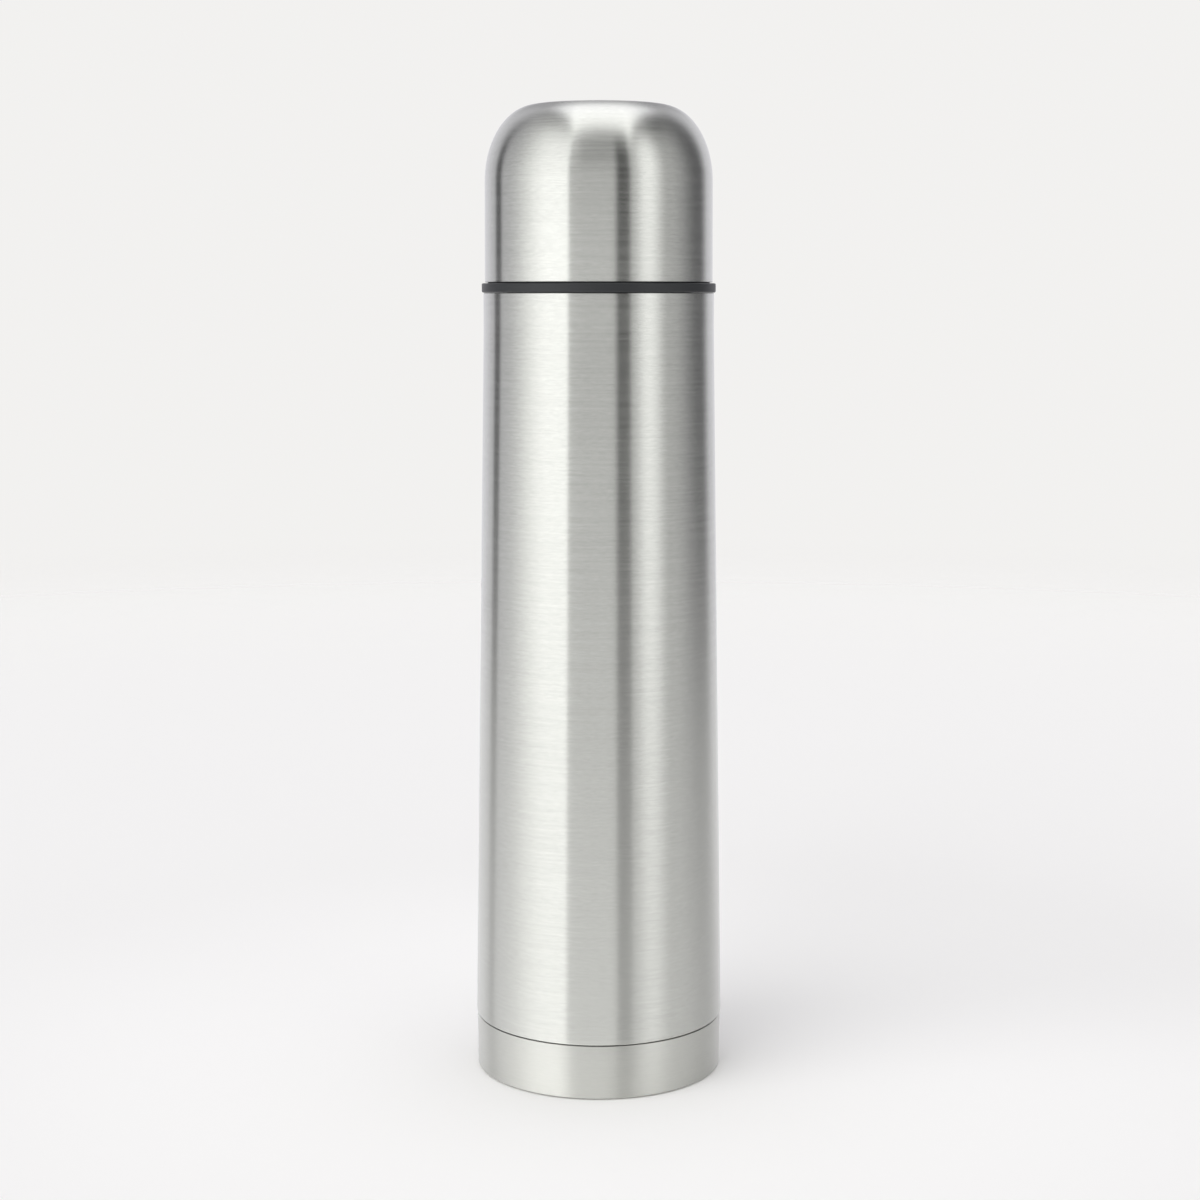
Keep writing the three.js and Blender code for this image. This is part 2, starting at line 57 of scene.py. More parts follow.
CREASE = math.radians(32)  # edges sharper than this aren't smoothed

THREAD_PITCH = 4.0
THREAD_STEP = 0.35  # how finely a threaded wall is divided


# --- Places, in millimetres, from the CAD frame --------------------------------------------

def span(node):
    """A CAD node's outer radius, its lowest height and its highest height, in millimetres."""
    low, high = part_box(node)
    return high.x / MM, low.z / MM, high.z / MM


SHELL_R, SHELL_LOW, NECK_TOP = span("outer_shell")
BASE_R, FOOT_Z, BASE_TOP = span("base_cup")
CUP_R, CUP_LOW, CUP_TOP = span("cup_shell")
RING_R, RING_LOW, RING_TOP = span("cup_rim_ring")
_, VESSEL_WELD, LIP = span("inner_vessel")
GASKET_R, GASKET_LOW, GASKET_TOP = span("cup_gasket")

GAP = 0.3  # between neighbouring pieces, as in the CAD
WALL = 0.5  # of the outer skins
INNER_WALL = 0.45  # of the bottle and the cup's lining
BODY_TOP_R = RING_R - 0.55
SHOULDER = RING_LOW - 0.06  # a little higher than in the CAD, so that no light shows under the ring
TAPER_TOP = SHOULDER - 11.54
TAPER_LOW = BASE_TOP + 1.7
SEAM = BASE_TOP + 0.28
SPIGOT_R = BASE_R - 1.2
NECK_R = 28.6
NECK_STEP = GASKET_LOW - GAP
MOUTH_R = GASKET_R - 2.8
BORE_R = 23.7
GASKET_FOOT = span("stopper_gasket")[1]
LEDGE = GASKET_FOOT - GAP

# Where each thread begins, and the shape that all threads share.
NECK_THREAD = 262
BORE_THREAD = 264
RING_THREAD = 264
STOPPER_THREAD = 266
RIDGE_HALF = 1.15  # half of a ridge's width at its foot
RIDGE_FLANK = 0.7
THREAD_FADE = 0.06  # of a turn, at each end


# --- Meshes -------------------------------------------------------------------------------

def rounded(profile, closed):
    """The profile's points, with each corner that gives a third number rounded to that radius."""
    points = []
    count = len(profile)
    for i, corner in enumerate(profile):
        here = Vector(corner[:2])
        inside = closed or 0 < i < count - 1
        radius = corner[2] if len(corner) > 2 and inside else 0
        if not radius:
            points.append(here)
            continue
        back = Vector(profile[i - 1][:2]) - here
        ahead = Vector(profile[(i + 1) % count][:2]) - here
        half = back.angle(ahead) / 2
        reach = min(radius / math.tan(half), 0.49 * back.length, 0.49 * ahead.length)
        start = here + back.normalized() * reach
        end = here + ahead.normalized() * reach
        middle = here + (back.normalized() + ahead.normalized()).normalized() * reach / math.cos(half)
        for step in range(ARC_STEPS + 1):
            share = step / ARC_STEPS
            arm = (start - middle).lerp(end - middle, share)
            points.append(middle + arm.normalized() * (start - middle).length)
    return points


def divided(points, closed, step):
    """The same line with no stretch longer than `step`, for a surface shaped along its height."""
    pairs = list(zip(points, points[1:] + points[:1] if closed else points[1:]))
    fine = []
    for a, b in pairs:
        parts = max(1, math.ceil((b - a).length / step))
        fine += [a.lerp(b, k / parts) for k in range(parts)]
    return fine if closed else fine + [points[-1]]


def turned(name, profile, segments=SEGMENTS, shape=None, step=None):
    """An object turned round the flask's axis. A profile's corners are (radius, height) or (radius, height,
    rounding) in millimetres, with the material on the left. shape(radius, height, angle) gives a point's
    new radius, for threads and ribs, and step is how finely the profile is divided for it."""
    closed = profile[0][0] > 0
    line = rounded(profile, closed)
    if step:
        line = divided(line, closed, step)
    vertices, rows, faces = [], [], []
    for r, z in line:
        if r < 1e-6:
            rows.append([len(vertices)] * segments)
            vertices.append((0, 0, z * MM))
            continue
        rows.append(list(range(len(vertices), len(vertices) + segments)))
        for k in range(segments):
            angle = TURN * k / segments
            radius = shape(r, z, angle) if shape else r
            vertices.append((radius * math.cos(angle) * MM, radius * math.sin(angle) * MM, z * MM))
    for low, high in zip(rows, rows[1:] + rows[:1] if closed else rows[1:]):
        for k in range(segments):
            after = (k + 1) % segments
            ring = [low[k], low[after], high[after], high[k]]
            faces.append(list(dict.fromkeys(ring)))
    return make_object(name, vertices, faces)


def make_object(name, vertices, faces):
    mesh = bpy.data.meshes.new(name)
    mesh.from_pydata(vertices, [], faces)
    mesh.validate()
    mesh.shade_smooth()
    mesh.set_sharp_from_angle(angle=CREASE)
    made = bpy.data.objects.new(name, mesh)
    bpy.context.scene.collection.objects.link(made)
    return made


def arc(side_r, z, width, rise, steps=24):
    """Points along a quarter ellipse, from its side up to its top."""
    angles = [math.pi / 2 * i / steps for i in range(steps + 1)]
    return [(side_r - width * (1 - math.cos(a)), z + rise * math.sin(a)) for a in angles]


def ease(x):
    x = min(1, max(0, x))
    return x * x * (3 - 2 * x)


def screw(wall_r, depth, low, turns):
    """A shape for turned(): a right-handed thread of that depth on the wall at wall_r, which fades out at
    both ends."""
    def height(z, angle):
        best = 0
        for lap in range(math.ceil(turns) + 1):
            along = angle / TURN + lap
            if along > turns:
                break
            off = abs(z - low - THREAD_PITCH * along)
            ends = ease(along / THREAD_FADE) * ease((turns - along) / THREAD_FADE)
            best = max(best, ends * ease((RIDGE_HALF - off) / RIDGE_FLANK))
        return best

    def shape(r, z, angle):
        if abs(r - wall_r) > 0.05 or not low - 2 < z < low + THREAD_PITCH * turns + 2:
            return r
        return r + depth * height(z, angle)
    return shape


def seal(node, inner_r, edge=0.3):
    """A ring with rounded edges, as wide and as tall as its CAD node."""
    outer_r, low, high = span(node)
    edge = min(edge, (outer_r - inner_r) / 2.5)
    profile = [(inner_r, low, edge), (outer_r, low, edge), (outer_r, high, edge), (inner_r, high, edge)]
    return turned(node + "_ring", profile, SMALL_SEGMENTS)


def prism(name, outline, low, high, upright=False):
    """A flat outline with thickness from low to high: up from the XY plane, or upright and along Y."""
    count = len(outline)
    vertices = []
    for level in (low, high):
        for a, b in outline:
            vertices.append((a * MM, level * MM, b * MM) if upright else (a * MM, b * MM, level * MM))
    sides = [[k, (k + 1) % count, (k + 1) % count + count, k + count] for k in range(count)]
    caps = [list(reversed(range(count))), list(range(count, 2 * count))]
    faces = sides + caps
    if upright:
        faces = [list(reversed(f)) for f in faces]
    return make_object(name, vertices, faces)


def moved(made, x):
    """The object's mesh shifted along X, in millimetres."""
    for vertex in made.data.vertices:
        vertex.co.x += x * MM
    return made


def cut_out(made, *boxes):
    """The object with boxes cut out of it, each given as its size and its middle in millimetres."""
    corners = [(x, y, z) for z in (-0.5, 0.5) for y in (-0.5, 0.5) for x in (-0.5, 0.5)]
    sides = [[0, 2, 3, 1], [4, 5, 7, 6], [0, 1, 5, 4], [2, 6, 7, 3], [0, 4, 6, 2], [1, 3, 7, 5]]
    for size, middle in boxes:
        points = [[(c * s + m) * MM for c, s, m in zip(corner, size, middle)] for corner in corners]
        tool = make_object("cutter", points, sides)
        change = made.modifiers.new("cut", "BOOLEAN")
        change.operation = "DIFFERENCE"
        change.solver = "EXACT"
        change.object = tool
        shaped = bpy.data.meshes.new_from_object(made.evaluated_get(bpy.context.evaluated_depsgraph_get()))
        made.modifiers.remove(change)
        made.data = shaped
        bpy.data.objects.remove(tool)
    made.data.shade_smooth()
    made.data.set_sharp_from_angle(angle=CREASE)
    return made


# --- Materials ----------------------------------------------------------------------------

class Nodes:
    """A short way to write a shader: every call adds a node and returns its output."""

    def __init__(self, tree):
        self.tree = tree

    def add(self, kind, output=0, sockets=(), **settings):
        made = self.tree.nodes.new(kind)
        for key, value in settings.items():
            setattr(made, key, value)
        for key, value in dict(sockets).items():
            if isinstance(value, bpy.types.NodeSocket):
                self.tree.links.new(value, made.inputs[key])
            else:
                made.inputs[key].default_value = value
        return made.outputs[output]

    def math(self, operation, a, b=0.0):
        return self.add("ShaderNodeMath", 0, {0: a, 1: b}, operation=operation)

    def times(self, a, b):
        return self.math("MULTIPLY", a, b)

    def range(self, value, low, high, to_low, to_high, smooth=False):
        kind = "SMOOTHSTEP" if smooth else "LINEAR"
        sockets = {"Value": value, "From Min": low, "From Max": high, "To Min": to_low, "To Max": to_high}
        return self.add("ShaderNodeMapRange", 0, sockets, interpolation_type=kind)

    def fade(self, value, none, full):
        """0 where the value is `none`, rising softly to 1 where it is `full`."""
        return self.range(value, none, full, 0, 1, True)

    def noise(self, vector, scale=1.0, detail=2.0, roughness=0.5):
        sockets = {"Vector": vector, "Scale": scale, "Detail": detail, "Roughness": roughness}
        return self.add("ShaderNodeTexNoise", 0, sockets)

    def blend(self, share, a, b):
        """Between two numbers."""
        return self.add("ShaderNodeMix", 0, {0: share, 2: a, 3: b})

    def mix(self, share, a, b):
        """Between two colours."""
        return self.add("ShaderNodeMix", 2, {0: share, 6: a, 7: b}, data_type="RGBA")

    def bump(self, height, distance, strength, under=None):
        sockets = {"Height": height, "Distance": distance, "Strength": strength}
        if under is not None:
            sockets["Normal"] = under
        return self.add("ShaderNodeBump", 0, sockets)


def new_material(name, **numbers):
    """A material, its node writer and its Principled shader, with plain numbers set on the shader's
    sockets."""
    made = bpy.data.materials.new(name)
    made.use_nodes = True
    shader = made.node_tree.nodes["Principled BSDF"]
    for key, value in numbers.items():
        shader.inputs[key.replace("_", " ")].default_value = value
    return made, Nodes(made.node_tree), shader


def toned(color, factor):
    """The colour made darker or lighter, with its alpha 1."""
    return [min(1, c * factor) for c in color[:3]] + [1]


def around_axis(nodes, along, across):
    """Coordinates that run round the axis: `along` sets how fast they change round it, and `across` how
    fast they change up the side or in towards the middle of an end, per metre."""
    place = nodes.add("ShaderNodeTexCoord", "Object")
    split = nodes.tree.nodes.new("ShaderNodeSeparateXYZ")
    nodes.tree.links.new(place, split.inputs[0])
    x, y, z = split.outputs
    radius = nodes.math("SQRT", nodes.math("ADD", nodes.times(x, x), nodes.times(y, y)))
    safe = nodes.math("MAXIMUM", radius, 0.001)
    turn_x = nodes.times(nodes.math("DIVIDE", x, safe), along)
    turn_y = nodes.times(nodes.math("DIVIDE", y, safe), along)
    climb = nodes.times(nodes.math("SUBTRACT", z, radius), across)
    return nodes.add("ShaderNodeCombineXYZ", 0, {0: turn_x, 1: turn_y, 2: climb})


def brushed(name, light, dark, roughness, anisotropy, grain):
    """Steel brushed round the axis: fine short marks and longer lines, from `dark` to `light`. Its gloss
    stretches up and down, across them. `grain` is their depth in millimetres."""
    made, nodes, shader = new_material(name, Metallic=1.0, Anisotropic=anisotropy, Anisotropic_Rotation=0.25)
    link = nodes.tree.links.new
    link(nodes.add("ShaderNodeTangent", direction_type="RADIAL", axis="Z"), shader.inputs["Tangent"])
    fine = nodes.noise(around_axis(nodes, along=16, across=2300), detail=3, roughness=0.6)
    lines = nodes.noise(around_axis(nodes, along=1.6, across=1300), detail=2)
    tone = nodes.math("ADD", nodes.times(fine, 0.6), nodes.times(lines, 0.4))
    link(nodes.mix(nodes.range(tone, 0.32, 0.68, 0, 1), dark, light), shader.inputs["Base Color"])
    link(nodes.range(lines, 0.3, 0.7, roughness - 0.015, roughness + 0.015), shader.inputs["Roughness"])
    link(nodes.bump(fine, grain * MM, 0.5), shader.inputs["Normal"])
    return made


def moulded(name, color, roughness, grain=0.02, scale=2600):
    """Moulded plastic with a fine spark-eroded texture and faint flow marks."""
    made, nodes, shader = new_material(name, Specular_IOR_Level=0.5)
    link = nodes.tree.links.new
    place = nodes.add("ShaderNodeTexCoord", "Object")
    texture = nodes.noise(place, scale, 2)
    flow = nodes.noise(place, 60, 3)
    dark = toned(color, 0.85)
    light = toned(color, 1.15)
    link(nodes.mix(flow, dark, light), shader.inputs["Base Color"])
    link(nodes.range(flow, 0.3, 0.7, roughness - 0.05, roughness + 0.05), shader.inputs["Roughness"])
    link(nodes.bump(texture, grain * MM, 0.6), shader.inputs["Normal"])
    return made


def silicone(name, color):
    """Soft translucent rubber with a matt skin."""
    made, nodes, shader = new_material(name, Subsurface_Weight=0.25, Subsurface_Scale=0.002)
    link = nodes.tree.links.new
    place = nodes.add("ShaderNodeTexCoord", "Object")
    cloud = nodes.noise(place, 180, 3)
    dark = toned(color, 0.92)
    link(nodes.mix(cloud, dark, color), shader.inputs["Base Color"])
    link(nodes.range(cloud, 0.3, 0.7, 0.5, 0.62), shader.inputs["Roughness"])
    link(nodes.bump(nodes.noise(place, 3000), 0.01 * MM, 0.5), shader.inputs["Normal"])
    return made


def beads(name, color):
    """Foam of small pressed beads, with painted shade that darkens each bead towards its sunken edge."""
    made, nodes, shader = new_material(name)
    link = nodes.tree.links.new
    place = nodes.add("ShaderNodeTexCoord", "Object")
    cells = nodes.add("ShaderNodeTexVoronoi", 0, {"Vector": place, "Scale": 450.0})
    dark = toned(color, 0.8)
    # painted shade: each bead is darker towards its edge, where the bump sinks it between the beads
    link(nodes.mix(nodes.range(cells, 0.0, 0.6, 1, 0), dark, color), shader.inputs["Base Color"])
    link(nodes.range(cells, 0.0, 0.6, 0.8, 0.95), shader.inputs["Roughness"])
    link(nodes.bump(cells, -0.3 * MM, 0.6), shader.inputs["Normal"])
    return made


def foil_metal(name, light, dark):
    """Thin rolled foil with soft creases."""
    made, nodes, shader = new_material(name, Metallic=1.0)
    link = nodes.tree.links.new
    place = nodes.add("ShaderNodeTexCoord", "Object")
    creases = nodes.noise(place, 90, 4, 0.6)
    link(nodes.mix(creases, dark, light), shader.inputs["Base Color"])
    link(nodes.range(creases, 0.3, 0.7, 0.22, 0.4), shader.inputs["Roughness"])
    link(nodes.bump(creases, 0.4 * MM, 0.5), shader.inputs["Normal"])
    return made


def fused(name, color, metal, roughness):
    """A pressed or melted lump: the getter's powder and the glass bead."""
    made, nodes, shader = new_material(name, Metallic=metal)
    link = nodes.tree.links.new
    place = nodes.add("ShaderNodeTexCoord", "Object")
    grain = nodes.noise(place, 900, 3)
    dark = toned(color, 0.7)
    link(nodes.mix(grain, dark, color), shader.inputs["Base Color"])
    link(nodes.range(grain, 0.3, 0.7, roughness - 0.06, roughness + 0.06), shader.inputs["Roughness"])
    link(nodes.bump(grain, 0.05 * MM, 0.5), shader.inputs["Normal"])
    return made


def rubbed(name, color, roughness):
    """Bright drawn wire or strip with fine scratches."""
    made, nodes, shader = new_material(name, Metallic=1.0)
    link = nodes.tree.links.new
    place = nodes.add("ShaderNodeTexCoord", "Object")
    scratches = nodes.noise(place, 1500, 3)
    dark = toned(color, 0.85)
    link(nodes.mix(scratches, dark, color), shader.inputs["Base Color"])
    link(nodes.range(scratches, 0.3, 0.7, roughness - 0.05, roughness + 0.05), shader.inputs["Roughness"])
    link(nodes.bump(scratches, 0.01 * MM, 0.4), shader.inputs["Normal"])
    return made


STEEL = brushed("brushed_steel", (0.67, 0.677, 0.644, 1), (0.582, 0.588, 0.559, 1), 0.23, 1.0, 0.012)
BASE_STEEL = brushed("base_steel", (0.655, 0.66, 0.624, 1), (0.62, 0.625, 0.591, 1), 0.34, 0.75, 0.006)
SATIN = brushed("satin_steel", (0.62, 0.615, 0.6, 1), (0.54, 0.535, 0.52, 1), 0.36, 0.6, 0.02)
WIRE = rubbed("wire_steel", (0.6, 0.6, 0.59, 1), 0.25)
COPPER = foil_metal("copper_foil", (0.83, 0.5, 0.36, 1), (0.62, 0.33, 0.22, 1))
BLACK = moulded("black_plastic", (0.018, 0.02, 0.022, 1), 0.45)
GREY = moulded("grey_plastic", (0.16, 0.165, 0.17, 1), 0.4)
SILICONE = silicone("silicone", (0.74, 0.73, 0.7, 1))
FOAM = beads("foam", (0.85, 0.84, 0.8, 1))
GLASS = fused("glass_bead", (0.12, 0.17, 0.15, 1), 0.0, 0.15)
POWDER = fused("getter_metal", (0.2, 0.2, 0.21, 1), 0.8, 0.6)


def fit(piece, node, body, look):
    """The finished piece stands for its CAD node and moves with its body."""
    piece.data.materials.append(look)
    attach(piece, body)
    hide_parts(node)
    return piece


# --- The flask's body ---------------------------------------------------------------------

def body_radius(z):
    share = (z - TAPER_LOW) / (TAPER_TOP - TAPER_LOW)
    return SHELL_R + (BODY_TOP_R - SHELL_R) * share


def outer_shell():
    neck_in = NECK_R - WALL
    body_in = BODY_TOP_R - WALL
    profile = [
        (SPIGOT_R, SHELL_LOW, 0.2),
        (SPIGOT_R, SEAM, 0.2),
        (body_radius(SEAM) - 0.1, SEAM + 0.05, 0.35),
        (body_radius(TAPER_LOW), TAPER_LOW),
        (BODY_TOP_R, TAPER_TOP, 60),
        (BODY_TOP_R, SHOULDER, 0.3),
        (NECK_R, SHOULDER, 1.8),
        (NECK_R, NECK_STEP, 0.25),
        (MOUTH_R, NECK_STEP, 0.3),
        (MOUTH_R, NECK_TOP, 0.2),
        (MOUTH_R - WALL, NECK_TOP, 0.2),
        (MOUTH_R - WALL, NECK_STEP - WALL, 0.3),
        (neck_in, NECK_STEP - WALL, 0.3),
        (neck_in, SHOULDER - WALL, 1.4),
        (body_in, SHOULDER - WALL, 0.4),
        (body_in, TAPER_TOP),
        (SHELL_R - WALL, TAPER_LOW),
        (SPIGOT_R - WALL, SEAM + 0.6),
        (SPIGOT_R - WALL, SHELL_LOW, 0.2),
    ]
    thread = screw(NECK_R, 1.2, NECK_THREAD, 1.5)
    return turned("body_shell", profile, shape=thread, step=THREAD_STEP)


def base_cup():
    foot_r = BASE_R - 0.15
    rim_r = 33.5  # of the recess pressed into the underside
    rise = 1.6
    undercut = 2  # how far in the foot stands, which the CAD leaves out
    lip = FOOT_Z + 0.55
    inner_lip = FOOT_Z + 0.6 + WALL
    profile = [
        (0, rise),
        (rim_r - 2.5, rise, 1.5),
        (rim_r, FOOT_Z, 1.2),
        (foot_r - undercut, FOOT_Z, 0.1),
        (foot_r - 1.6, lip - 0.05, 0.1),
        (foot_r, lip, 0.12),
        (BASE_R, BASE_TOP, 0.15),
        (BASE_R - WALL, BASE_TOP, 0.2),
        (foot_r - WALL, inner_lip, 0.4),
        (foot_r - undercut - WALL, inner_lip, 0.4),
        (foot_r - 2.6, FOOT_Z + WALL, 0.3),
        (rim_r + 0.3, FOOT_Z + WALL, 1.2),
        (rim_r - 2.2, rise + WALL, 1.5),
        (0, rise + WALL),
    ]
    return turned("base_cap", profile)


def vessel_radius(z):
    return body_radius(z) - WALL - 2.6


def vessel_bottom():
    _, floor_z, top = span("vessel_bottom")
    wall = INNER_WALL
    foot_r = vessel_radius(floor_z)
    top_r = vessel_radius(top)
    profile = [
        (0, floor_z),
        (foot_r, floor_z, 9),
        (top_r, top, 0.1),
        (top_r - wall, top, 0.1),
        (foot_r - wall, floor_z + wall, 9 - wall),
        (0, floor_z + wall),
    ]
    return turned("bottle_bottom", profile)


def inner_vessel():
    wall = INNER_WALL
    shoulder = 224
    top_r = vessel_radius(shoulder)
    ledge_r = 19.8
    rim = LIP - 1
    profile = [
        (vessel_radius(VESSEL_WELD), VESSEL_WELD, 0.1),
        (top_r, shoulder, 9),
        (top_r - 5.2, shoulder + 11.3, 5),
        (ledge_r + wall, LEDGE - 5, 2),
        (ledge_r + wall, LEDGE - 1.4, 0.5),
        (BORE_R + wall, LEDGE - 0.5, 0.5),
        (BORE_R + wall, rim, 0.3),
        (MOUTH_R, rim, 0.3),
        (MOUTH_R, LIP, 0.5),
        (BORE_R, LIP, 1.2),
        (BORE_R, LEDGE, 0.5),
        (ledge_r, LEDGE, 0.5),
        (ledge_r, LEDGE - 5.2, 2),
        (top_r - 5.2 - 0.7 * wall, shoulder + 11.3 - 0.8 * wall, 5),
        (top_r - wall, shoulder, 9),
        (vessel_radius(VESSEL_WELD) - wall, VESSEL_WELD, 0.1),
    ]
    thread = screw(BORE_R, -1.2, BORE_THREAD, 2)
    return turned("inner_bottle", profile, shape=thread, step=THREAD_STEP)


def copper_foil():
    _, low, high = span("copper_foil")

    def inside(z):
        return body_radius(z) - WALL - 2.25

    profile = [(inside(low), low), (inside(low) + 0.2, low), (inside(high) + 0.2, high), (inside(high), high)]
    return turned("foil", profile, step=4)


def outer_bottom():
    rim_r, low, _ = span("outer_bottom")
    dimple = low + 3.2
    middle = low + 5.2
    dish = low + 4.4
    profile = [
        (1, dimple),
        (5, dimple, 1),
        (8, middle, 1.5),
        (26, dish, 6),
        (rim_r - 2.8, low, 1),
        (rim_r, low, 0.5),
        (rim_r, low + 4),
        (rim_r - WALL, low + 4),
        (rim_r - WALL, low + WALL, 0.3),
        (rim_r - 2.6, low + WALL, 1),
        (26.1, dish + WALL, 6),
        (7.8, middle + WALL, 1.5),
        (4.8, dimple + WALL, 1),
        (1, dimple + WALL),
    ]
    return turned("end_plate", profile, SMALL_SEGMENTS)


def vacuum_seal():
    outer_r, low, high = span("vacuum_seal")
    profile = [(0, low), (outer_r, low, 1), (outer_r, high, 0.5), (0, high)]
    return turned("sealing_bead", profile, SMALL_SEGMENTS)


def getter_place():
    low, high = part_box("getter")
    return (low + high) / 2 / MM


def getter():
    middle = getter_place()
    profile = [
        (0, middle.z - 1.1),
        (3.6, middle.z - 1.1, 0.4),
        (3.6, middle.z + 1.1, 0.4),
        (2.6, middle.z + 1.1, 0.2),
        (2.4, middle.z + 0.8, 0.2),
        (0, middle.z + 0.8),
    ]
    return moved(turned("getter_pellet", profile, SMALL_SEGMENTS), middle.x)


def getter_clip():
    low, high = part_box("getter_clip")
    foot = low.z / MM
    top = high.z / MM
    middle = (low.x + high.x) / 2 / MM
    thick = 0.4
    half = 4.1
    reach = 7
    outline = [
        (middle - reach, foot), (middle - half, foot), (middle - half, top - thick),
        (middle + half, top - thick), (middle + half, foot), (middle + reach, foot),
        (middle + reach, foot + thick), (middle + half + thick, foot + thick),
        (middle + half + thick, top), (middle - half - thick, top),
        (middle - half - thick, foot + thick), (middle - reach, foot + thick),
    ]
    return prism("getter_strap", outline, low.y / MM, high.y / MM, upright=True)


# --- The stopper --------------------------------------------------------------------------

STOPPER_R = 21.9
STOPPER_FOOT = GASKET_FOOT + 2.3
FLANGE_R, _, FLANGE_TOP = span("stopper_body")
FLANGE = FLANGE_TOP - 2
BUTTON_R, SKIRT, BUTTON_TOP = span("push_button")
STEM_R, STEM_FOOT, STEM_TOP = span("valve_stem")
STEM_BORE_R = STEM_R + 0.6
CASE_R, CASE_FOOT, CASE_TOP = span("core_case")
SPRING_R, SPRING_FOOT, SPRING_TOP = span("button_spring")
WIRE_R = 0.45
RIBS = 40  # round the stopper's grip


def stopper_body():
    bore_r = 20.4
    edge_r = CASE_R + 0.4
    profile = [
        (edge_r, STOPPER_FOOT, 0.2),
        (STOPPER_R, STOPPER_FOOT, 0.5),
        (STOPPER_R, FLANGE, 0.2),
        (FLANGE_R, FLANGE, 0.3),
        (FLANGE_R, FLANGE_TOP, 0.4),
        (bore_r, FLANGE_TOP, 0.2),
        (bore_r, STOPPER_FOOT + 1.8, 0.2),
        (edge_r, STOPPER_FOOT + 1.8, 0.2),
    ]
    thread = screw(STOPPER_R, 1.3, STOPPER_THREAD, 1.5)
    made = turned("stopper_barrel", profile, SEGMENTS, shape=thread, step=THREAD_STEP)
    through = 2 * FLANGE_R + 2
    window, window_height = 9, 6
    windows = (0, 0, 257)
    notch = (6, 14, 2.4)
    notch_x = STOPPER_R + 0.2 + notch[0] / 2
    return cut_out(
        made,
        ((through, window, window_height), windows),
        ((window, through, window_height), windows),
        (notch, (notch_x, 0, FLANGE)),
        (notch, (-notch_x, 0, FLANGE)),
    )


def stopper_cover():
    grip_r, foot, top = span("stopper_cover")
    hole_r = BUTTON_R + 0.5
    profile = [
        (grip_r - 1.7, foot, 0.2),
        (grip_r, foot, 0.5),
        (grip_r, top, 2.6),
        (hole_r, top, 0.5),
        (hole_r, foot, 0.3),
        (hole_r + 1.4, foot, 0.3),
        (hole_r + 1.4, top - 1.6, 0.5),
        (grip_r - 1.7, top - 1.6, 1.2),
    ]

    def ribbed(r, z, angle):
        if r < grip_r - 1.2 or not foot + 0.8 < z < top - 1.4:
            return r
        fade = ease((z - foot - 0.8) / 0.8) * ease((top - 1.4 - z) / 0.8)
        groove = max(0, math.cos(RIBS * angle)) ** 2
        return r - 0.45 * fade * groove

    return turned("grip_cover", profile, 480, shape=ribbed, step=0.5)


def core_case():
    wall = 1.2
    tube_r = STEM_BORE_R + 1.4
    profile = [
        (STEM_BORE_R, CASE_FOOT, 0.3),
        (CASE_R, CASE_FOOT, 0.8),
        (CASE_R, CASE_TOP, 0.3),
        (CASE_R - wall, CASE_TOP, 0.3),
        (CASE_R - wall, CASE_FOOT + wall, 0.5),
        (tube_r, CASE_FOOT + wall, 0.5),
        (tube_r, CASE_TOP, 0.3),
        (STEM_BORE_R, CASE_TOP, 0.3),
    ]
    return turned("core_can", profile, SMALL_SEGMENTS)


def core_lid():
    rim_r, low, high = span("core_lid")
    collar_r = 6.4
    collar_bore_r = 5.1
    profile = [
        (STEM_BORE_R, low, 0.2),
        (rim_r, low, 0.3),
        (rim_r, low + 1.5, 0.3),
        (collar_r, low + 1.5, 0.4),
        (collar_r, high, 0.3),
        (collar_bore_r, high, 0.3),
        (collar_bore_r, low + 1, 0.2),
        (STEM_BORE_R, low + 1, 0.2),
    ]
    return turned("core_deck", profile, SMALL_SEGMENTS)


def valve_seat():
    rim_r, low, high = span("valve_seat")
    seat_r = 11.2
    profile = [
        (seat_r, low, 0.4),
        (rim_r, low, 0.8),
        (rim_r, high, 0.3),
        (rim_r - 1.2, high, 0.3),
        (rim_r - 1.2, low + 1.4, 0.4),
        (seat_r, low + 1.4, 0.4),
    ]
    return turned("valve_foot", profile, SMALL_SEGMENTS)


def valve_disc():
    rim_r, low, high = span("valve_disc")
    hole_r = STEM_R + 0.4
    profile = [
        (hole_r, low, 0.2),
        (rim_r, low, 1),
        (rim_r, low + 2.1, 0.3),
        (rim_r - 5.7, low + 2.1, 0.2),
        (rim_r - 6.4, high, 0.6),
        (hole_r, high, 0.2),
    ]
    return turned("valve_plate", profile, SMALL_SEGMENTS)


def valve_stem():
    profile = [
        (0, STEM_FOOT),
        (STEM_R, STEM_FOOT, 0.4),
        (STEM_R, STEM_FOOT + 1.2, 0.1),
        (STEM_R - 0.5, STEM_FOOT + 1.2, 0.1),
        (STEM_R - 0.5, STEM_FOOT + 2.6, 0.1),
        (STEM_R, STEM_FOOT + 2.6, 0.1),
        (STEM_R, STEM_TOP, 0.4),
        (0, STEM_TOP),
    ]
    return turned("valve_rod", profile, SMALL_SEGMENTS)


def valve_clip():
    outer_r, low, high = span("valve_clip")
    inner_r = STEM_R - 0.15
    gap = math.pi / 6
    steps = 40
    angles = [gap + (TURN - 2 * gap) * i / steps for i in range(steps + 1)]
    outer = [(outer_r * math.cos(a), outer_r * math.sin(a)) for a in angles]
    inner = [(inner_r * math.cos(a), inner_r * math.sin(a)) for a in reversed(angles)]
    return prism("snap_ring", outer + inner, low, high)


